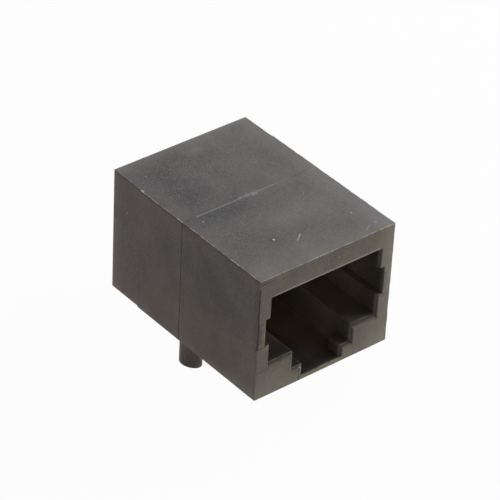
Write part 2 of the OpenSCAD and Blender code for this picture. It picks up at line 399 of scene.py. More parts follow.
def burr_effect() -> bpy.types.NodeTree:
    """Short pale strokes combed across a line that runs along X.

    Returns:
        Group that gives Mask, 1 in a stroke.
    """
    effect = Effect("combed_burr", {"Line": 0.0, "From": -1.0, "To": 1.0, "Reach": 0.3}, ["Mask"])
    given = effect.given
    waves_along, waves_across, slant = 7.0, 1.3, 1.5
    outer, inner = 0.5, 0.3
    x, y, _ = effect.parts(given["Place"])
    away = effect.math("SUBTRACT", y, given["Line"])
    slanted = effect.math("MULTIPLY_ADD", away, slant, effect.math("MULTIPLY", x, waves_along))
    combed = effect.joined(slanted, effect.math("MULTIPLY", away, waves_across))
    strokes = effect.ramp(effect.noise(combed, 1.0), 0.48, 0.6)
    inner_reach = effect.math("MULTIPLY", given["Reach"], 0.25)
    near = effect.ramp(effect.math("ABSOLUTE", away), inner_reach, given["Reach"], 1.0, 0.0)
    start, end = given["From"], given["To"]
    after = effect.ramp(x, effect.math("SUBTRACT", start, outer), effect.math("ADD", start, inner))
    before = effect.ramp(x, effect.math("SUBTRACT", end, inner), effect.math("ADD", end, outer), 1.0, 0.0)
    inside = effect.math("MULTIPLY", effect.math("MULTIPLY", near, after), before)
    effect.give("Mask", effect.math("MULTIPLY", strokes, inside))
    return effect.tree


@dataclass(frozen=True)
class Effects:
    """The effects, each built once and shared by the finishes."""

    streak: bpy.types.NodeTree = field(default_factory=streak_effect)
    burr: bpy.types.NodeTree = field(default_factory=burr_effect)
    mottle: bpy.types.NodeTree = field(default_factory=mottle_effect)
    grain: bpy.types.NodeTree = field(default_factory=grain_effect)
    mark: bpy.types.NodeTree = field(default_factory=mark_effect)
    speck: bpy.types.NodeTree = field(default_factory=speck_effect)
    wear_and_highlight: bpy.types.NodeTree = field(default_factory=wear_and_highlight_effect)


# -- Finishes ------------------------------------------------


@dataclass(frozen=True)
class Mark:
    """A scratch, spot or fine line on a wall, given by its two ends along the wall; pale lines along edges
    are painted highlights, and dark lines are painted shade.
    """

    wall: Wall
    start: tuple
    end: tuple
    half_width: float
    strength: float
    dark: bool = False

    def mask(self, wiring: Wiring, place: Socket, group: bpy.types.NodeTree) -> Socket:
        """Places the mark's effect.

        Args:
            wiring: Tree to add to.
            place: Place on the part.
            group: The mark's node group.

        Returns:
            The socket of its mask.
        """
        effect = wiring.effect(
            group,
            Place=place,
            Start=self.wall.on(self.start),
            End=self.wall.on(self.end),
            Squash=self.wall.squash,
            Half_Width=self.half_width,
        )
        return wiring.math("MULTIPLY", effect["Mask"], self.strength)


@dataclass(frozen=True)
class CombedBurr:
    """The scuffed stretch of the parting line, in a thin layer below the roof."""

    start: float
    end: float
    reach: float
    strength: float
    layer: float = 0.3

    def mask(self, wiring: Wiring, place: Socket, group: bpy.types.NodeTree) -> Socket:
        """Places the burr's effect.

        Args:
            wiring: Tree to add to.
            place: Place on the part.
            group: The burr's node group.

        Returns:
            The socket of its mask.
        """
        combed = wiring.effect(group, Place=place, From=self.start, To=self.end, Reach=self.reach)["Mask"]
        on_roof = wiring.math("GREATER_THAN", wiring.parts(place)[2], HIGHEST.z - self.layer)
        return wiring.math("MULTIPLY", wiring.math("MULTIPLY", combed, on_roof), self.strength)


@dataclass(frozen=True)
class SoftPatch:
    """A paler or darker area of a wall with a soft edge, which paints light and shade as well as tone, or a
    band where one half size is left out.
    """

    wall: Wall
    centre: tuple
    half: tuple
    tone: float

    def at(self, place: Vector, normal: Vector) -> float:
        """Tone that the patch adds at a place.

        Args:
            place: Place on the housing.
            normal: Direction that the surface faces there.

        Returns:
            The tone.
        """
        share = self.wall.share(normal)
        if share < 0.01:
            return 0.0
        away = sum(
            ((along - middle) / half) ** 2
            for along, middle, half in zip(self.wall.spot(place), self.centre, self.half)
            if half is not None
        )
        return share * self.tone * math.exp(-away)


@dataclass(frozen=True)
class PlasticFinish:
    """Moulded black plastic, with painted shade inside the mouth where the mesh's layer marks it."""

    name: str
    colour: tuple
    pale: tuple
    worn_and_highlit: tuple
    rough: float
    gloss: float

    # Grain and its pale flecks, cloudy tone and flow streaks.
    pale_gain: float = 0.36
    grain_size: float = 0.11
    grain_height: float = 0.010
    fleck: float = 0.24
    mottle_size: float = 3.0
    mottle_finer: float = 0.55
    mottle_depth: float = 0.16
    mottle_rough: float = -0.05
    streak_width: float = 0.55
    streak_length: float = 5.0
    streak_depth: float = 0.05

    # Rubbed edges with painted highlights, dust specks, and how rough and deep scrapes are.
    wear_and_highlight_spacing: float = 0.6
    wear_and_highlight_cover: float = 0.5
    speck_spacing: float = 1.7
    speck_share: float = 0.16
    speck_radius: float = 0.07
    speck_strength: float = 0.7
    scrape_rough: float = 0.15
    scrape_depth: float = 1.2

    # Colour and roughness of the painted shade inside the mouth, and the depths in the mouth at which it is
    # full, fades and ends.
    mouth_shade_colour: tuple = (0.027, 0.021, 0.018)
    mouth_shade_rough: float = 0.6
    mouth_shade_full: float = 0.6
    mouth_shade_fades: float = 0.7
    mouth_shade_ends: float = 4.0

    marks: tuple = ()
    burr: Optional[CombedBurr] = None


@dataclass(frozen=True)
class PlatedFinish:
    """Contact strip, gold on the spring and tin on the tail, slightly tarnished."""

    name: str = "plated_strip"
    gold: tuple = (0.86, 0.62, 0.26)
    tin: tuple = (0.62, 0.61, 0.58)
    tarnish: tuple = (0.25, 0.2, 0.13)
    tarnish_share: float = 0.1
    tin_full: float = 0.5
    tin_ends: float = 2.5
    tin_ragged: float = 0.8
    tin_waves: float = 2.0
    rough: float = 0.28
    tin_rough: float = 0.14
    mottle_size: float = 1.2
    mottle_finer: float = 0.6
    mottle_rough: float = 0.06
    ripple_waves: float = 9.0
    ripple_height: float = 0.004
    ripple_strength: float = 0.6


Finish = Union[PlasticFinish, PlatedFinish]


def principled(name: str) -> tuple:
    """Makes a material with one Principled shader.

    Args:
        name: Name of the material.

    Returns:
        The material, its wiring and the shader node.
    """
    material = bpy.data.materials.new(name)
    material.use_nodes = True
    return material, Wiring(material.node_tree), material.node_tree.nodes["Principled BSDF"]


def bumps(wiring: Wiring, height: Socket, depth: float, strength: float = 1.0) -> Socket:
    """Normal of a surface with bumps of a height, whose unit is a depth in millimetres."""
    node = wiring.fill(wiring.add("ShaderNodeBump"), Strength=strength, Distance=depth * MM, Height=height)
    return node.outputs["Normal"]


def all_masks(wiring: Wiring, masks: Iterable[Socket]) -> Socket:
    """Largest of several masks.

    Args:
        wiring: Tree to add to.
        masks: The masks' sockets.

    Returns:
        The largest mask's socket.
    """
    total: Optional[Socket] = None
    for mask in masks:
        total = mask if total is None else wiring.math("MAXIMUM", total, mask)
    return total


def cloudiness(finish: Finish, wiring: Wiring, place: Socket, effects: Effects) -> Socket:
    """Cloudy tone of a finish, from -1 to 1."""
    sizes = {"Size": finish.mottle_size, "Finer": finish.mottle_finer}
    return wiring.effect(effects.mottle, Place=place, **sizes)["Tone"]


def mouth_shade_mask(finish: PlasticFinish, wiring: Wiring, place: Socket) -> Socket:
    """Mask of the painted shade inside the mouth, which begins behind the mouth's rim and fades further in.

    Args:
        finish: Colours and amounts.
        wiring: Tree to add to.
        place: Place on the part.

    Returns:
        The mask's socket.
    """
    depth = wiring.math("ABSOLUTE", wiring.math("SUBTRACT", wiring.parts(place)[1], LOWEST.y))
    begun = wiring.ramp(depth, 0.0, finish.mouth_shade_full)
    reached = wiring.math("MULTIPLY", wiring.layer(PAINTED_SHADE_LAYER), begun, clamp=True)
    return wiring.math("MULTIPLY", reached, wiring.ramp(depth, finish.mouth_shade_fades, finish.mouth_shade_ends, 1.0, 0.0))


def plastic_material(finish: PlasticFinish, effects: Effects) -> bpy.types.Material:
    """Moulded plastic with cloudy tone, fine grain, rubbed edges with painted highlights, dust, scratches,
    painted light and shade from the mesh's layer, and painted shade inside the mouth.

    Args:
        finish: Colours and amounts.
        effects: The shared effects.

    Returns:
        The material.
    """
    material, wiring, shader = principled(finish.name)
    place = wiring.place()
    cloudy = cloudiness(finish, wiring, place, effects)
    grain = wiring.effect(effects.grain, Place=place, Size=finish.grain_size)
    streaks = wiring.effect(
        effects.streak, Place=place, Width=finish.streak_width, Length=finish.streak_length
    )["Tone"]
    edges = wiring.effect(
        effects.wear_and_highlight,
        Place=place,
        Edge=wiring.layer(WORN_AND_HIGHLIT_EDGE),
        Spacing=finish.wear_and_highlight_spacing,
        Cover=finish.wear_and_highlight_cover,
    )["Mask"]
    specks = wiring.effect(
        effects.speck,
        Place=place,
        Spacing=finish.speck_spacing,
        Share=finish.speck_share,
        Radius=finish.speck_radius,
    )["Mask"]

    # The wall layer adds painted light and shade to the cloudy tone.
    mottled_and_painted_light = wiring.math("MULTIPLY_ADD", cloudy, finish.mottle_depth, wiring.layer(WALL_TONE_AND_LIGHT))
    level = wiring.math("MULTIPLY_ADD", streaks, finish.streak_depth, mottled_and_painted_light)
    darker = wiring.math("MULTIPLY", level, -1.0, clamp=True)
    paler = wiring.math("MULTIPLY", level, finish.pale_gain, clamp=True)
    toned = wiring.mix(paler, wiring.mix(darker, finish.colour, BLACK), finish.pale)
    flecked = wiring.mix(wiring.math("MULTIPLY", grain["Fleck"], finish.fleck), toned, finish.pale)

    # Pale marks are dust specks, scratches, the burr and painted highlight lines; dark marks are painted
    # shade lines, in the mouth's shade colour.
    scrapes_and_highlights = [wiring.math("MULTIPLY", specks, finish.speck_strength)]
    scrapes_and_highlights += [mark.mask(wiring, place, effects.mark) for mark in finish.marks if not mark.dark]
    if finish.burr:
        scrapes_and_highlights.append(finish.burr.mask(wiring, place, effects.burr))
    shade_lines = [mark.mask(wiring, place, effects.mark) for mark in finish.marks if mark.dark]
    scraped_and_highlit = all_masks(wiring, scrapes_and_highlights)

    # Painted shade inside the mouth: a dark colour that covers the grain and the pale marks there.
    mouth_shade_share = mouth_shade_mask(finish, wiring, place)
    moulded = wiring.mix(mouth_shade_share, flecked, wiring.mix(darker, finish.mouth_shade_colour, BLACK))
    outer_scraped_and_highlit = wiring.math("MULTIPLY", scraped_and_highlit, wiring.math("SUBTRACT", 1.0, mouth_shade_share))
    marked = wiring.mix(outer_scraped_and_highlit, moulded, finish.worn_and_highlit)
    # Rounded edges get the pale colour both as wear and as a painted highlight.
    rubbed_and_highlit = wiring.mix(edges, marked, finish.worn_and_highlit)
    with_shade_lines = wiring.mix(all_masks(wiring, shade_lines), rubbed_and_highlit, finish.mouth_shade_colour) if shade_lines else rubbed_and_highlit

    cloudy_rough = wiring.math("MULTIPLY_ADD", cloudy, finish.mottle_rough, finish.rough)
    rough = wiring.math("MULTIPLY_ADD", outer_scraped_and_highlit, finish.scrape_rough, cloudy_rough, clamp=True)
    smoother = wiring.math("MULTIPLY", mouth_shade_share, finish.rough - finish.mouth_shade_rough)
    scrape_height = wiring.math("MULTIPLY", scraped_and_highlit, finish.scrape_depth)
    wiring.fill(
        shader,
        Base_Color=with_shade_lines,
        Roughness=wiring.math("SUBTRACT", rough, smoother),
        Specular_IOR_Level=finish.gloss,
        Normal=bumps(wiring, wiring.math("SUBTRACT", grain["Height"], scrape_height), finish.grain_height),
    )
    return material


def plated_material(finish: PlatedFinish, effects: Effects) -> bpy.types.Material:
    """Plated contact strip, gold above and tin on the tail.

    Args:
        finish: Colours and amounts.
        effects: The shared effects.

    Returns:
        The material.
    """
    material, wiring, shader = principled(finish.name)
    place = wiring.place()
    waves = wiring.noise(place, finish.tin_waves)
    ragged_height = wiring.math("MULTIPLY_ADD", waves, finish.tin_ragged, wiring.parts(place)[2])
    tinned = wiring.ramp(ragged_height, finish.tin_full, finish.tin_ends, 1.0, 0.0)
    cloudy = cloudiness(finish, wiring, place, effects)
    tarnished = wiring.math("MULTIPLY_ADD", cloudy, finish.tarnish_share, finish.tarnish_share, clamp=True)
    rough = wiring.math("MULTIPLY_ADD", cloudy, finish.mottle_rough, finish.rough)
    ripples = wiring.noise(place, finish.ripple_waves, 3.0, 0.6)
    wiring.fill(
        shader,
        Base_Color=wiring.mix(tarnished, wiring.mix(tinned, finish.gold, finish.tin), finish.tarnish),
        Metallic=1.0,
        Roughness=wiring.math("MULTIPLY_ADD", tinned, finish.tin_rough, rough),
        Normal=bumps(wiring, ripples, finish.ripple_height, finish.ripple_strength),
    )
    return material


# -- Meshes --------------------------------------------------


def merged_copy(node: str) -> bmesh.types.BMesh:
    """Copy of a CAD node in millimetres, with its doubles merged and its flat faces joined.

    Args:
        node: Name of the CAD node.

    Returns:
        The mesh.
    """
    mesh = bmesh.new()
    mesh.from_mesh(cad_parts[node].data)
    bmesh.ops.scale(mesh, vec=(1 / MM,) * 3, verts=mesh.verts)
    bmesh.ops.remove_doubles(mesh, verts=mesh.verts, dist=SAME_PLACE)
    bmesh.ops.dissolve_limit(mesh, angle_limit=FLAT_TURN, verts=mesh.verts, edges=mesh.edges)
    return mesh


def sharp_edges(mesh: bmesh.types.BMesh, turn: float) -> list:
    """Convex edges of a mesh that turn by more than a number of radians."""
    return [e for e in mesh.edges if e.is_manifold and e.is_convex and e.calc_face_angle(0.0) > turn]


def round_off(mesh: bmesh.types.BMesh, edges: list, size: float, segments: int, clamp: bool = True) -> list:
    """Rounds some edges of a mesh.

    Args:
        mesh: Mesh to work on.
        edges: Edges to round.
        size: Width that the rounding takes from each face.
        segments: Number of strips in the rounding.
        clamp: Whether the rounding shrinks where it would meet another.

    Returns:
        The new faces.
    """
    made = bmesh.ops.bevel(
        mesh,
        geom=edges,
        offset=size,
        offset_type="OFFSET",
        affect="EDGES",
        segments=segments,
        profile=0.5,
        material=-1,
        clamp_overlap=clamp,
        loop_slide=True,
    )
    return made["faces"]


def cut(mesh: bmesh.types.BMesh, axis: Axis, level: float, faces: Optional[list] = None) -> None:
    """Cuts the mesh, or some of its faces, by one plane and keeps both sides.

    Args:
        mesh: Mesh to cut.
        axis: Direction across the plane.
        level: Coordinate of the plane.
        faces: Faces to cut, or None for all.
    """
    chosen = mesh.faces if faces is None else faces
    each_once = dict.fromkeys(part for face in chosen for part in (*face.verts, *face.edges, face))
    bmesh.ops.bisect_plane(
        mesh,
        geom=list(each_once),
        dist=ON_CUT,
        plane_co=axis.direction * level,
        plane_no=axis.direction,
    )


def stops_between(mesh: bmesh.types.BMesh, axis: Axis, cell: float, turn: float) -> list:
    """Coordinates of the cuts that divide the mesh between its own sharp edges.

    Args:
        mesh: Mesh to divide.
        axis: Direction across the cuts.
        cell: Wanted distance between the cuts.
        turn: Least turn of an edge that counts as sharp.

    Returns:
        The coordinates, each clear of every sharp edge that lies across the axis.
    """
    levels = set()
    for edge in mesh.edges:
        first, second = (v.co[axis.value] for v in edge.verts)
        if abs(first - second) < SAME_PLACE and edge.calc_face_angle(0.0) > turn:
            levels.add(round(first, 3))
    ordered = sorted(levels)
    stops = []
    for low, high in zip(ordered, ordered[1:]):
        count = max(1, round((high - low) / cell))
        stops += [low + (high - low) * k / count for k in range(1, count)]
    return stops


def as_data(mesh: bmesh.types.BMesh, name: str) -> bpy.types.Mesh:
    """Turns a bmesh into mesh data and frees it.

    Args:
        mesh: The bmesh.
        name: Name of the data.

    Returns:
        The data.
    """
    data = bpy.data.meshes.new(name)
    mesh.to_mesh(data)
    mesh.free()
    return data


def put_in_scene(name: str, data: bpy.types.ID) -> bpy.types.Object:
    """Makes an object of a mesh, a lamp or a camera and puts it in the scene.

    Args:
        name: Name of the object.
        data: Its mesh, lamp or camera.

    Returns:
        The object.
    """
    placed = bpy.data.objects.new(name, data)
    bpy.context.scene.collection.objects.link(placed)
    return placed


def finished_object(
    mesh: bmesh.types.BMesh, name: str, material: bpy.types.Material, node: str
) -> bpy.types.Object:
    """Turns a mesh in millimetres into a finished piece that stands for a CAD node.

    Args:
        mesh: The mesh, which is freed.
        name: Name of the piece.
        material: Its material.
        node: CAD node that it replaces.

    Returns:
        The piece.
    """
    worn_and_highlit = mesh.faces.layers.float.get(WORN_AND_HIGHLIT_EDGE)
    for edge in mesh.edges:
        plain = worn_and_highlit is not None and all(f[worn_and_highlit] == 0 for f in edge.link_faces)
        edge.smooth = edge.calc_face_angle(0.0) < (CRISP_TURN if plain else SMOOTH_TURN)
    for face in mesh.faces:
        face.smooth = True
    bmesh.ops.scale(mesh, vec=(MM,) * 3, verts=mesh.verts)
    piece = put_in_scene(name, as_data(mesh, name))
    piece.data.materials.append(material)
    normals = piece.modifiers.new("face_weighted_normals", "WEIGHTED_NORMAL")
    normals.keep_sharp = True
    normals.weight = 80
    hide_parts(node)
    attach(piece, "root")
    return piece


# -- Housing -------------------------------------------------


@dataclass(frozen=True)
class EdgeWearAndHighlight:
    """How far each group of the housing's edges is rubbed and carries a painted highlight, from 0 to 1."""

    roof_left: float = 1.0
    roof_left_relief: float = 0.3
    roof_front: float = 0.42
    roof_other: float = 0.4
    lintel: float = 0.8
    mouth: float = 0.12
    other: float = 0.08


@dataclass(frozen=True)
class MouthShadePainting:
    """How strongly painted shade darkens the faces inside the mouth and the rear pocket, more on the left
    ledge than the right; past 1 it starts nearer the rim.
    """

    lip: float = 4.5
    side_lip: float = 20.0
    wall: float = 0.75
    floor: float = 4.0
    left_ledge: float = 4.0
    right_ledge: float = 0.65


@dataclass
class MouldedHousing:
    """The housing: rounded edges, sunk walls, the mould's parting line, a slightly worn rim with painted
    highlights, painted light and shade on its walls, and painted shade inside the mouth.
    """

    finish: PlasticFinish
    tone_and_light_patches: tuple
    node: str = "housing"
    wear_and_highlight: EdgeWearAndHighlight = EdgeWearAndHighlight()
    mouth_shade: MouthShadePainting = MouthShadePainting()

    # Division and rounding of the whole mesh.
    sharp: float = math.radians(44)
    cell: float = 0.42
    edge_round: float = 0.08
    slack: float = 0.01

    # What tells the moulding's features apart: the heights of the posts, the lintel and the floor, the line
    # across the front left corner, the rear relief of the sides, and the sloping lips of the mouth.
    post_from: float = -0.05
    lintel_z: float = 10.5
    floor_z: float = 1.0
    witness_z: float = 5.56
    witness_half: float = 0.02
    relief_length: float = 4.0
    relief: float = 0.1
    lip_depth: float = 0.3
    lip_slant: tuple = (0.3, 0.96)

    # The pulled upper stretch of the front left corner.
    corner_area: float = 0.5
    corner_pull: float = 0.1
    corner_reach: float = 0.18
    corner_fade: float = 0.8

    # The parting line: a ridge on the roof with a scuffed stretch, and a groove down the sides.
    parting_half: float = 0.07
    ridge: float = 0.022
    ridge_waves: float = 2.1
    burr: float = 0.02
    burr_span: tuple = (-1.5, 2.4)
    burr_step: float = 0.13
    burr_reach: float = 0.3
    burr_waves: tuple = (5.3, 9.0)
    groove: float = 0.04

    # Sunk walls and nibbled outer edges.
    sink: float = 0.045
    side_sink: float = 0.03
    nibble: float = 0.05
    nibble_waves: float = 2.9
    nibble_start: tuple = (7.0, 1.0, 4.0)

    # Painted shade of the ledge at the left, and painted shadow of a post beside the housing and at its end.
    left_ledge_painted_shade: float = -0.45
    post_painted_shadow: tuple = (-0.88, -0.55)

    width: float = field(init=False)
    top: float = field(init=False)
    front: float = field(init=False)
    rear: float = field(init=False)
    relief_y: float = field(init=False)

    def __post_init__(self) -> None:
        """Takes the outer sizes from the CAD node's box."""
        low, high = (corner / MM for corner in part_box(self.node))
        self.width = high.x - low.x
        self.top = high.z
        self.front = low.y
        self.rear = high.y
        self.relief_y = self.rear - self.relief_length

    @property
    def half(self) -> float:
        """Half of the housing's width."""
        return self.width / 2

    @property
    def rim(self) -> float:
        """Width of the strip along an outer edge that the rounding takes up."""
        return self.edge_round + self.slack

    def build(self, effects: Effects) -> bpy.types.Object:
        """Builds and dresses the housing.

        Args:
            effects: The shared effects.

        Returns:
            The finished piece.
        """
        mesh = merged_copy(self.node)
        self.divide(mesh)
        self.round_edges(mesh)
        self.cut_parting_line(mesh)
        self.cut_burr(mesh)
        self.paint_mouth_shade(mesh)
        self.paint_walls(mesh)
        for vert in mesh.verts:
            self.settle(vert)
        return finished_object(mesh, "moulded_housing", plastic_material(self.finish, effects), self.node)

    def divide(self, mesh: bmesh.types.BMesh) -> None:
        """Divides the walls into small cells that can bend, and removes edges that slant across flat walls.

        Args:
            mesh: The housing's mesh.
        """
        for axis in Axis:
            for level in stops_between(mesh, axis, self.cell, self.sharp):
                cut(mesh, axis, level)
        even = [e for e in mesh.edges if e.is_manifold and e.calc_face_angle(0.0) < EVEN_TURN]
        bmesh.ops.dissolve_edges(mesh, edges=[e for e in even if self.is_slanting(e)], use_verts=False)

    @staticmethod
    def is_slanting(edge: bmesh.types.BMEdge) -> bool:
        """Whether an edge runs along none of the three axes."""
        along = (edge.verts[1].co - edge.verts[0].co).normalized()
        return max(abs(c) for c in along) < 0.999

    def round_edges(self, mesh: bmesh.types.BMesh) -> None:
        """Rounds every convex edge but the relief's step, and marks the new faces as edges that are worn and
        carry a painted highlight.

        Args:
            mesh: The housing's mesh.
        """
        worn_and_highlit = mesh.faces.layers.float.new(WORN_AND_HIGHLIT_EDGE)
        edges = [e for e in sharp_edges(mesh, self.sharp) if not self.is_relief_step(e)]
        for face in round_off(mesh, edges, self.edge_round, segments=2, clamp=False):
            face[worn_and_highlit] = self.wear_and_highlight_of(face.calc_center_median())

    def is_relief_step(self, edge: bmesh.types.BMEdge) -> bool:
        """Whether an edge runs up a side at the step where the rear relief begins."""
        across = self.relief + self.slack
        return all(
            abs(v.co.y - self.relief_y) < self.slack and self.half - abs(v.co.x) < across for v in edge.verts
        )

    def wear_and_highlight_of(self, place: Vector) -> float:
        """How far an edge is rubbed and carries a painted highlight.

        Args:
            place: Middle of one of the edge's faces.

        Returns:
            The share, from 0 to 1.
        """
        on_roof = self.top - place.z < self.edge_round
        on_front = place.y - self.front < self.edge_round
        if on_roof and on_front:
            return self.wear_and_highlight.roof_front
        if on_roof and place.x < 0:
            return self.wear_and_highlight.roof_left_relief if place.y > self.relief_y else self.wear_and_highlight.roof_left
        if on_roof:
            return self.wear_and_highlight.roof_other
        if on_front and abs(place.x) < self.half - self.edge_round:
            return self.wear_and_highlight.lintel if place.z > self.lintel_z else self.wear_and_highlight.mouth
        return self.wear_and_highlight.other

    def paint_walls(self, mesh: bmesh.types.BMesh) -> None:
        """Paints the tone of the walls with painted light and shade, the painted shade of the left ledge and
        the painted shadow of the posts onto the mesh.

        Args:
            mesh: The housing's mesh.
        """
        mesh.normal_update()
        tone = mesh.verts.layers.float.new(WALL_TONE_AND_LIGHT)
        for vert in mesh.verts:
            vert[tone] = self.tone_at(vert.co, vert.normal)

    def tone_at(self, place: Vector, normal: Vector) -> float:
        """Tone of the housing's surface, with painted light and shade.

        Args:
            place: Place on the housing.
            normal: Direction that the surface faces there.

        Returns:
            The tone, from about -1 to 1.
        """
        # Painted shadow on the posts under the housing.
        if place.z < self.post_from:
            return self.painted_shadow_of_post(place.z)
        # Painted shade on the left ledge inside the mouth.
        if place.x < 0 and normal.z > LOOKS_UP and self.is_inside(place):
            return self.left_ledge_painted_shade
        return sum(patch.at(place, normal) for patch in self.tone_and_light_patches)

    def painted_shadow_of_post(self, height: float) -> float:
        """Painted shadow of a board post, darkest beside the seating plane under the housing."""
        near, far = self.post_painted_shadow
        return near + (far - near) * height / LOWEST.z

    def paint_mouth_shade(self, mesh: bmesh.types.BMesh) -> None:
        """Marks how strongly painted shade darkens each face inside the mouth and the rear pocket.

        Args:
            mesh: The housing's mesh.
        """
        polished = mesh.faces.layers.float.new(PAINTED_SHADE_LAYER)
        mesh.normal_update()
        for face in mesh.faces:
            face[polished] = self.mouth_shade_of(face)

    def mouth_shade_of(self, face: bmesh.types.BMFace) -> float:
        """How strongly the painted shade shows on a face.

        Args:
            face: Face of the housing.

        Returns:
            The amount, which is 0 on the outer walls.
        """
        if self.is_lip(face):
            sideways = abs(face.normal.x) > self.lip_slant[0]
            return self.mouth_shade.side_lip if sideways else self.mouth_shade.lip
        if self.is_outer(face):
            return 0.0
        if face.normal.z < LOOKS_UP:
            return self.mouth_shade.wall
        middle = face.calc_center_median()
        if middle.z < self.floor_z:
            return self.mouth_shade.floor
        return self.mouth_shade.right_ledge if middle.x > 0 else self.mouth_shade.left_ledge

    def is_lip(self, face: bmesh.types.BMFace) -> bool:
        """Tells whether a face slopes between the mouth's rim and its inside.

        Args:
            face: Face of the housing.

        Returns:
            True for such a face.
        """
        middle = face.calc_center_median()
        least, most = self.lip_slant
        at_rim = middle.y - self.front < self.lip_depth
        return at_rim and least < -face.normal.y < most and self.is_inside(middle)

    def is_outer(self, face: bmesh.types.BMFace) -> bool:
        """Tells whether every corner of a face is on an outer wall or its rounded edge.

        Args:
            face: Face of the housing.

        Returns:
            True for such a face.
        """
        return all(
            self.half - abs(v.co.x) < self.rim + self.relief
            or min(v.co.z, self.top - v.co.z, v.co.y - self.front, self.rear - v.co.y) < self.rim
            for v in face.verts
        )

    def is_inside(self, place: Vector) -> bool:
        """Whether a place lies clear of the sides, the roof and the underside."""
        return self.rim < place.z < self.top - self.rim and abs(place.x) < self.half - self.rim

    def cut_parting_line(self, mesh: bmesh.types.BMesh) -> None:
        """Cuts the strip in which the parting line stands up, and the strips of the pulled corner.

        Args:
            mesh: The housing's mesh.
        """
        for level in (-self.parting_half, 0.0, self.parting_half):
            cut(mesh, Axis.Y, level)
        for axis, level in (
            (Axis.X, self.corner_reach - self.half),
            (Axis.Y, self.front + self.corner_reach),
            (Axis.Z, self.witness_z - self.witness_half),
            (Axis.Z, self.witness_z + self.witness_half),
        ):
            corner = [f for f in mesh.faces if self.is_front_left(f.calc_center_median())]
            cut(mesh, axis, level, corner)

    def cut_burr(self, mesh: bmesh.types.BMesh) -> None:
        """Cuts the roof beside the scuffed stretch of the parting line into short steps.

        Args:
            mesh: The housing's mesh.
        """
        low, high = self.burr_span
        steps = round((high - low) / self.burr_step)
        roof = self.top - 2 * self.slack
        for k in range(steps + 1):
            middles = ((f, f.calc_center_median()) for f in mesh.faces)
            strip = [f for f, at in middles if at.z > roof and abs(at.y) < self.burr_reach]
            cut(mesh, Axis.X, low + (high - low) * k / steps, strip)

    def is_front_left(self, place: Vector) -> bool:
        """Whether a place lies on the front or left wall beside the corner between them."""
        beside = max(place.x + self.half, place.y - self.front) < self.corner_area
        return beside and place.z > self.edge_round

    def settle(self, vert: bmesh.types.BMVert) -> None:
        """Moves one vertex by the wall's sink, the parting line and the worn edges.

        Args:
            vert: Vertex to move.
        """
        place = vert.co.copy()
        from_side = self.half - abs(place.x)
        from_top = self.top - place.z
        side = math.copysign(1.0, place.x)
        if from_top < ON_WALL:
            vert.co.z -= self.ridge + self.burr + self.sink * self.pillow(place.x, self.half, place.y)
            vert.co.z += self.parting_height(place)
        elif from_top < self.edge_round:
            vert.co.z -= (self.ridge + self.burr) * (1 - from_top / self.edge_round)
        if from_side < ON_WALL and place.z > 0:
            above_middle = place.z - self.top / 2
            vert.co.x -= side * self.side_sink * self.pillow(above_middle, self.top / 2, place.y)
            if abs(place.y) < ON_WALL:
                vert.co.x -= side * self.groove
        self.nibble_edge(vert, place)

    def pillow(self, across: float, half: float, depth: float) -> float:
        """Share of the full sink at a place, 0 on the walls' edges and on the parting line.

        Args:
            across: Distance from the wall's middle line.
            half: Half of the wall's width.
            depth: Distance behind the parting line.

        Returns:
            The share, from 0 to 1.
        """
        along = abs(depth) / (self.rear if depth > 0 else -self.front)
        rise = math.sin(math.pi * min(1.0, max(0.0, along))) ** 0.6
        return max(0.0, 1 - abs(across / half) ** 4) * rise

    def parting_height(self, place: Vector) -> float:
        """Height of the flash that stands on the parting line.

        Args:
            place: Place on the roof.

        Returns:
            The height, in millimetres.
        """
        if abs(place.y) > self.parting_half + ON_WALL:
            return 0.0
        ragged = 0.6 + 0.8 * noise.noise(Vector((place.x * self.ridge_waves, 3.0, 0.0)))
        flash = min(1.0, ragged) * self.ridge
        low, high = self.burr_span
        if low < place.x < high:
            along, across = self.burr_waves
            torn = abs(noise.noise(Vector((place.x * along, place.y * across, 1.0)))) * 1.8
            return flash + min(1.0, torn) * self.burr
        return flash if abs(place.y) < ON_WALL else 0.0

    def nibble_edge(self, vert: bmesh.types.BMVert, place: Vector) -> None:
        """Wears the housing's outer edges unevenly, and pulls in the upper front left corner.

        Args:
            vert: Vertex to move.
            place: Its place before any move.
        """
        near = self.edge_round + ON_WALL
        from_top = self.top - place.z
        at_side = self.half - abs(place.x) < near
        at_top = from_top < near
        at_front = place.y - self.front < near
        wave = 0.5 + 0.5 * noise.noise(place * self.nibble_waves + Vector(self.nibble_start))
        amount = self.nibble * wave * wave * 2
        inward = Vector((-math.copysign(1.0, place.x), 0.0, 0.0))
        if at_side and at_top:
            vert.co += (inward - Axis.Z.direction) * amount * 0.5
        elif at_front and at_top:
            vert.co += (Axis.Y.direction - Axis.Z.direction) * amount * 0.5
        elif at_side and at_front:
            pulled = self.corner_pull if place.x < 0 and place.z > self.witness_z else 0.0
            pulled *= min(1.0, from_top / self.corner_fade)
            vert.co += (inward + Axis.Y.direction) * (amount + pulled) * 0.5


# -- Carrier and contacts ------------------------------------


@dataclass
class ContactCarrier:
    """The inner moulding that holds the contacts."""

    finish: PlasticFinish
    node: str = CARRIER_NODE
    edge_round: float = 0.03

    def build(self, effects: Effects) -> bpy.types.Object:
        """Builds and dresses the carrier.

        Args:
            effects: The shared effects.

        Returns:
            The finished piece.
        """
        mesh = merged_copy(self.node)
        worn_and_highlit = mesh.faces.layers.float.new(WORN_AND_HIGHLIT_EDGE)
        for face in round_off(mesh, sharp_edges(mesh, SHARP_TURN), self.edge_round, segments=1):
            face[worn_and_highlit] = 1.0
        return finished_object(mesh, "moulded_carrier", plastic_material(self.finish, effects), self.node)


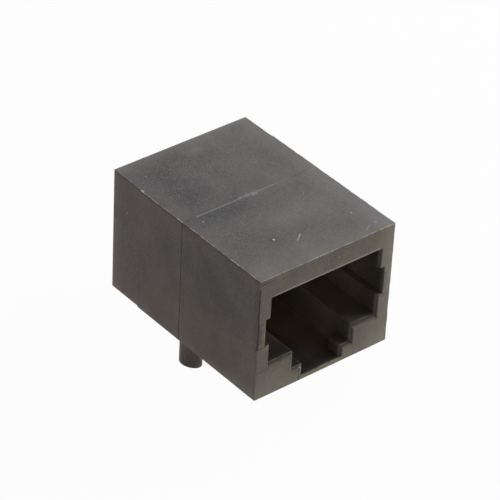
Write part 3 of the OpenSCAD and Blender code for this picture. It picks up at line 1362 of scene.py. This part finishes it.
@dataclass
class FormedContact:
    """One contact, formed from strip."""

    node: str
    edge_round: float = 0.04

    def build(self, material: bpy.types.Material) -> bpy.types.Object:
        """Builds and dresses the contact.

        Args:
            material: The plated finish.

        Returns:
            The finished piece.
        """
        mesh = merged_copy(self.node)
        round_off(mesh, sharp_edges(mesh, SHARP_TURN), self.edge_round, segments=2)
        return finished_object(mesh, f"formed_{self.node}", material, self.node)


# -- Studio --------------------------------------------------


def direction_from(azimuth: float, elevation: float) -> Vector:
    """Direction from the part towards a viewer.

    Args:
        azimuth: Degrees round the part, 0 in front of the mouth and 90 at its right.
        elevation: Degrees above the horizon.

    Returns:
        The unit vector.
    """
    turn, rise = math.radians(azimuth), math.radians(elevation)
    return Vector((math.sin(turn) * math.cos(rise), -math.cos(turn) * math.cos(rise), math.sin(rise)))


@dataclass(frozen=True)
class Softbox:
    """A square lamp aimed at the part. Its distance and side are in metres."""

    name: str
    azimuth: float
    elevation: float
    radiance: float
    tint: tuple
    distance: float = 0.5
    side: float = 0.4

    def build(self, aim: Vector) -> bpy.types.Object:
        """Places the lamp.

        Args:
            aim: Place that it points at, in metres.

        Returns:
            The lamp.
        """
        lamp = bpy.data.lights.new(self.name, "AREA")
        lamp.shape = "SQUARE"
        lamp.size = self.side
        lamp.energy = self.radiance * math.pi * self.side * self.side
        lamp.color = self.tint
        placed = put_in_scene(self.name, lamp)
        back = direction_from(self.azimuth, self.elevation)
        placed.location = aim + back * self.distance
        placed.rotation_euler = back.to_track_quat("Z", "Y").to_euler()
        return placed


@dataclass
class Studio:
    """Pale floor, soft lamps and a white surround. The floor's side is in metres."""

    floor_side: float = 3.0
    floor_white: float = 0.8
    shadow_share: float = 0.035
    surround: float = 0.142
    surround_tint: tuple = (1.0, 0.69, 0.47)
    lamps: tuple = (
        Softbox("side_softbox", 90.0, 45.0, 4.6, (0.60, 0.71, 0.98)),
        Softbox("front_softbox", 75.0, 10.0, 4.9, (1.0, 0.98, 0.47)),
        Softbox("left_softbox", -50.0, 8.0, 0.3, (1.0, 0.85, 0.75)),
    )

    def build(self) -> None:
        """Builds the floor, the surround and the lamps."""
        self.build_floor()
        self.build_surround()
        aim = (LOWEST + HIGHEST) / 2 * MM
        for lamp in self.lamps:
            lamp.build(aim)

    @staticmethod
    def emptied(tree: bpy.types.NodeTree) -> Wiring:
        """Wiring of a node tree whose first nodes are removed."""
        tree.nodes.clear()
        return Wiring(tree)

    @staticmethod
    def seen_directly(wiring: Wiring) -> Socket:
        """Mask of the rays that show the background as it is seen."""
        path = wiring.add("ShaderNodeLightPath").outputs
        return all_masks(wiring, [path["Is Camera Ray"], path["Is Glossy Ray"], path["Is Transmission Ray"]])

    def build_floor(self) -> None:
        """Builds the floor at the height of the part's lowest point."""
        mesh = bmesh.new()
        bmesh.ops.create_grid(mesh, x_segments=1, y_segments=1, size=self.floor_side / 2)
        bmesh.ops.translate(mesh, vec=(0, 0, CAD_BOX[0][2]), verts=mesh.verts)
        floor = put_in_scene("floor", as_data(mesh, "floor"))
        floor.data.materials.append(self.floor_material())

    def floor_material(self) -> bpy.types.Material:
        """Floor that is seen as white with a faint shadow, and lights the part as matt off-white.

        Returns:
            The material.
        """
        material = bpy.data.materials.new("pale_floor")
        material.use_nodes = True
        wiring = self.emptied(material.node_tree)
        matt = wiring.fill(wiring.add("ShaderNodeBsdfDiffuse"), Color=(self.floor_white,) * 3).outputs[0]
        glow = wiring.fill(wiring.add("ShaderNodeEmission"), Color=WHITE, Strength=1.0).outputs[0]
        seen = wiring.add("ShaderNodeMixShader", self.shadow_share, glow, matt).outputs[0]
        both = wiring.add("ShaderNodeMixShader", self.seen_directly(wiring), matt, seen).outputs[0]
        wiring.fill(wiring.add("ShaderNodeOutputMaterial"), Surface=both)
        return material

    def build_surround(self) -> None:
        """Builds the world: white where it is seen, softer where it only lights."""
        world = bpy.data.worlds.new("surround")
        world.use_nodes = True
        bpy.context.scene.world = world
        wiring = self.emptied(world.node_tree)
        lighting = tuple(self.surround * c for c in self.surround_tint)
        colour = wiring.mix(self.seen_directly(wiring), lighting, WHITE)
        glow = wiring.fill(wiring.add("ShaderNodeBackground"), Color=colour).outputs[0]
        wiring.fill(wiring.add("ShaderNodeOutputWorld"), Surface=glow)


@dataclass
class Viewpoint:
    """Camera in front of the part, to its left and above. Its angles are in degrees."""

    azimuth: float = -40.65
    elevation: float = 35.5
    roll: float = 3.06
    distance: float = 253.5
    lens: float = 203.8
    aim: tuple = (0.152, -0.127, 6.796)

    def build(self) -> bpy.types.Object:
        """Places the camera and makes it the scene's own.

        Returns:
            The camera.
        """
        data = bpy.data.cameras.new("viewpoint")
        data.sensor_width = 36.0
        data.lens = self.lens
        data.clip_start = 0.01
        camera = put_in_scene("viewpoint", data)
        back = direction_from(self.azimuth, self.elevation)
        place = (Vector(self.aim) + back * self.distance) * MM
        turn = back.to_track_quat("Z", "Y").to_matrix() @ Matrix.Rotation(math.radians(self.roll), 3, "Z")
        camera.matrix_world = Matrix.Translation(place) @ turn.to_4x4()
        bpy.context.scene.camera = camera
        return camera


# -- The whole part ------------------------------------------

ROOF, LEFT, FRONT = Wall

# Each mark's two ends, half width, strength and darkness: the parting line first, then scratches and specks,
# dark lines of painted shade in the side's parting groove, the relief's step and the front left corner's
# seams and creases, and pale lines of painted highlight along the lintel's lower edge and the slot's and
# keeper's edges.
HOUSING_MARKS = (
    Mark(ROOF, (-6.0, 0.0), (-1.2, 0.0), 0.08, 0.27),
    Mark(ROOF, (-1.2, 0.0), (2.6, 0.0), 0.065, 0.26),
    Mark(ROOF, (2.6, 0.0), (4.6, 0.0), 0.06, 0.12),
    Mark(ROOF, (4.4, 0.02), (7.4, 0.02), 0.06, 0.4, dark=True),
    Mark(ROOF, (-0.3, -7.2), (-1.05, -7.8), 0.10, 0.42),
    Mark(ROOF, (-2.7, -6.5), (-2.68, -6.55), 0.12, 1.0),
    Mark(ROOF, (5.43, -7.3), (5.5, -7.3), 0.09, 0.5),
    Mark(ROOF, (4.8, -10.1), (5.5, -9.7), 0.07, 0.2),
    Mark(ROOF, (6.1, -9.7), (6.4, -9.6), 0.07, 0.25),
    Mark(ROOF, (3.9, -2.6), (3.95, -2.55), 0.07, 0.3),
    Mark(ROOF, (-5.9, 7.6), (-5.85, 7.55), 0.09, 0.3),
    Mark(ROOF, (-6.1, -0.9), (-6.0, -0.9), 0.09, 0.4),
    Mark(ROOF, (-7.5, 6.0), (-7.5, 5.8), 0.12, 0.6),
    Mark(LEFT, (8.0, 9.4), (8.05, 9.2), 0.09, 0.3),
    # Dark lines of painted shade in the parting groove, at the relief's step, and in the front left corner's
    # seams and creases.
    Mark(LEFT, (0.0, 12.7), (0.0, 0.1), 0.07, 0.75, dark=True),
    Mark(LEFT, (6.0, 9.5), (6.0, 0.2), 0.06, 0.18, dark=True),
    Mark(FRONT, (-6.6, 5.54), (-7.7, 5.54), 0.05, 0.9, dark=True),
    Mark(FRONT, (-6.2, 3.0), (-7.5, 2.95), 0.1, 0.3, dark=True),
    Mark(FRONT, (-7.5, 11.9), (-7.52, 5.6), 0.07, 0.9, dark=True),
    Mark(FRONT, (1.2, 11.95), (1.2, 11.75), 0.05, 0.25),
    # Pale lines of painted highlight along the lintel's lower edge and the slot's and keeper's edges; the
    # last is a dark line of painted shade in the keeper's seam.
    Mark(FRONT, (-5.9, 10.75), (5.9, 10.75), 0.12, 0.28),
    Mark(FRONT, (-3.5, 3.5), (-3.5, 1.5), 0.08, 0.3),
    Mark(FRONT, (-2.42, 1.5), (-2.35, 0.7), 0.08, 0.6),
    Mark(FRONT, (-2.62, 1.3), (-2.62, 0.1), 0.06, 0.8, dark=True),
)

# A patch that leaves out one coordinate and its half size is a band that runs along the whole wall.
ALL_ALONG = None

# Each patch's centre, half size and tone, which is paler above 0 and darker below it. The patches paint light
# and shade as well as uneven tone: the paler bands along the walls' borders and right strips are painted
# light and glare, and the paler and darker areas of the roof and the left side are painted light and shade.
HOUSING_TONE_AND_LIGHT_PATCHES = (
    SoftPatch(ROOF, (-3.8, 3.5), (4.2, 6.5), -0.42),
    SoftPatch(ROOF, (-5.9, 5.6), (3.0, 4.0), -0.38),
    SoftPatch(ROOF, (0.8, 4.5), (2.4, 3.6), -0.14),
    SoftPatch(ROOF, (4.8, 6.5), (2.0, 3.0), -0.08),
    SoftPatch(ROOF, (-4.0, -0.9), (3.6, 1.2), -0.6),
    SoftPatch(ROOF, (-5.0, -5.4), (3.5, 1.9), -0.3),
    SoftPatch(ROOF, (-1.0, -6.9), (3.5, 1.2), -0.32),
    SoftPatch(ROOF, (1.0, -4.5), (5.5, 1.1), 0.3),
    SoftPatch(ROOF, (0.0, 8.2), (0.9, 0.5), 0.6),
    SoftPatch(ROOF, (ALL_ALONG, 1.2), (ALL_ALONG, 0.5), 0.06),
    SoftPatch(ROOF, (7.6, ALL_ALONG), (1.3, ALL_ALONG), 0.55),
    SoftPatch(ROOF, (-7.0, -2.0), (0.5, 3.0), 0.5),
    SoftPatch(ROOF, (-7.4, 1.4), (0.7, 0.9), 0.3),
    SoftPatch(ROOF, (-7.4, 9.8), (0.8, 0.8), 0.35),
    SoftPatch(ROOF, (ALL_ALONG, -10.8), (ALL_ALONG, 1.6), 0.3),
    SoftPatch(ROOF, (6.5, -10.5), (3.5, 2.0), 0.15),
    SoftPatch(ROOF, (ALL_ALONG, 10.1), (ALL_ALONG, 0.7), 0.6),
    SoftPatch(LEFT, (ALL_ALONG, 0.0), (ALL_ALONG, 0.9), 0.9),
    SoftPatch(LEFT, (-8.5, 0.2), (3.5, 0.7), 0.4),
    SoftPatch(LEFT, (ALL_ALONG, 1.5), (ALL_ALONG, 2.5), 0.25),
    SoftPatch(LEFT, (ALL_ALONG, 12.9), (ALL_ALONG, 0.8), 0.2),
    SoftPatch(LEFT, (-3.5, 4.9), (4.5, 0.9), 0.14),
    SoftPatch(LEFT, (-6.0, 9.2), (6.5, 3.8), -0.46),
    SoftPatch(LEFT, (4.0, 9.5), (3.0, 3.5), -0.1),
    SoftPatch(LEFT, (10.1, ALL_ALONG), (1.0, ALL_ALONG), 0.7),
    SoftPatch(LEFT, (-10.8, ALL_ALONG), (0.8, ALL_ALONG), 0.1),
    SoftPatch(LEFT, (-10.5, 2.0), (2.0, 2.5), 0.15),
    SoftPatch(FRONT, (7.6, ALL_ALONG), (1.3, ALL_ALONG), 0.65),
    SoftPatch(FRONT, (6.5, 12.0), (3.0, 2.5), 0.2),
    SoftPatch(FRONT, (7.0, 8.2), (1.0, 3.6), 0.6),
    SoftPatch(FRONT, (-1.0, 12.2), (4.5, 0.8), -0.1),
    SoftPatch(FRONT, (-6.9, 2.9), (0.8, 0.35), -0.2),
    SoftPatch(FRONT, (-6.0, 1.3), (2.5, 1.2), 0.45),
    SoftPatch(FRONT, (3.9, 2.0), (0.9, 1.5), -0.3),
    SoftPatch(FRONT, (6.2, 1.6), (1.6, 1.4), 0.45),
    SoftPatch(FRONT, (-3.0, 1.2), (0.5, 0.6), -0.5),
    SoftPatch(FRONT, (ALL_ALONG, 0.0), (ALL_ALONG, 1.2), 0.7),
)

HOUSING_FINISH = PlasticFinish(
    name="moulded_housing_black",
    colour=(0.115, 0.100, 0.087),
    pale=(0.385, 0.37, 0.35),
    worn_and_highlit=(0.7, 0.67, 0.62),
    rough=0.58,
    gloss=0.33,
    marks=HOUSING_MARKS,
    burr=CombedBurr(-1.2, 0.7, 0.38, 0.42),
)

CARRIER_FINISH = PlasticFinish(
    name="moulded_carrier_black",
    colour=(0.05, 0.045, 0.042),
    pale=(0.16, 0.155, 0.15),
    worn_and_highlit=(0.16, 0.155, 0.15),
    rough=0.5,
    gloss=0.4,
    grain_size=0.08,
    wear_and_highlight_cover=0.25,
)


def main() -> None:
    """Builds the camera, the studio and every piece of the part, and reports each piece."""
    logging.basicConfig(level=logging.INFO, format="%(name)s %(message)s")
    bpy.context.scene.view_settings.view_transform = "Standard"
    Viewpoint().build()
    Studio().build()
    effects = Effects()
    housing = MouldedHousing(HOUSING_FINISH, HOUSING_TONE_AND_LIGHT_PATCHES).build(effects)
    carrier = ContactCarrier(CARRIER_FINISH).build(effects)
    plated = plated_material(PlatedFinish(), effects)
    contacts = [FormedContact(node).build(plated) for node in CONTACT_NODES]
    for piece in (housing, carrier, *contacts):
        log.info("%s: %d faces", piece.name, len(piece.data.polygons))


if __name__ == "__main__":
    main()
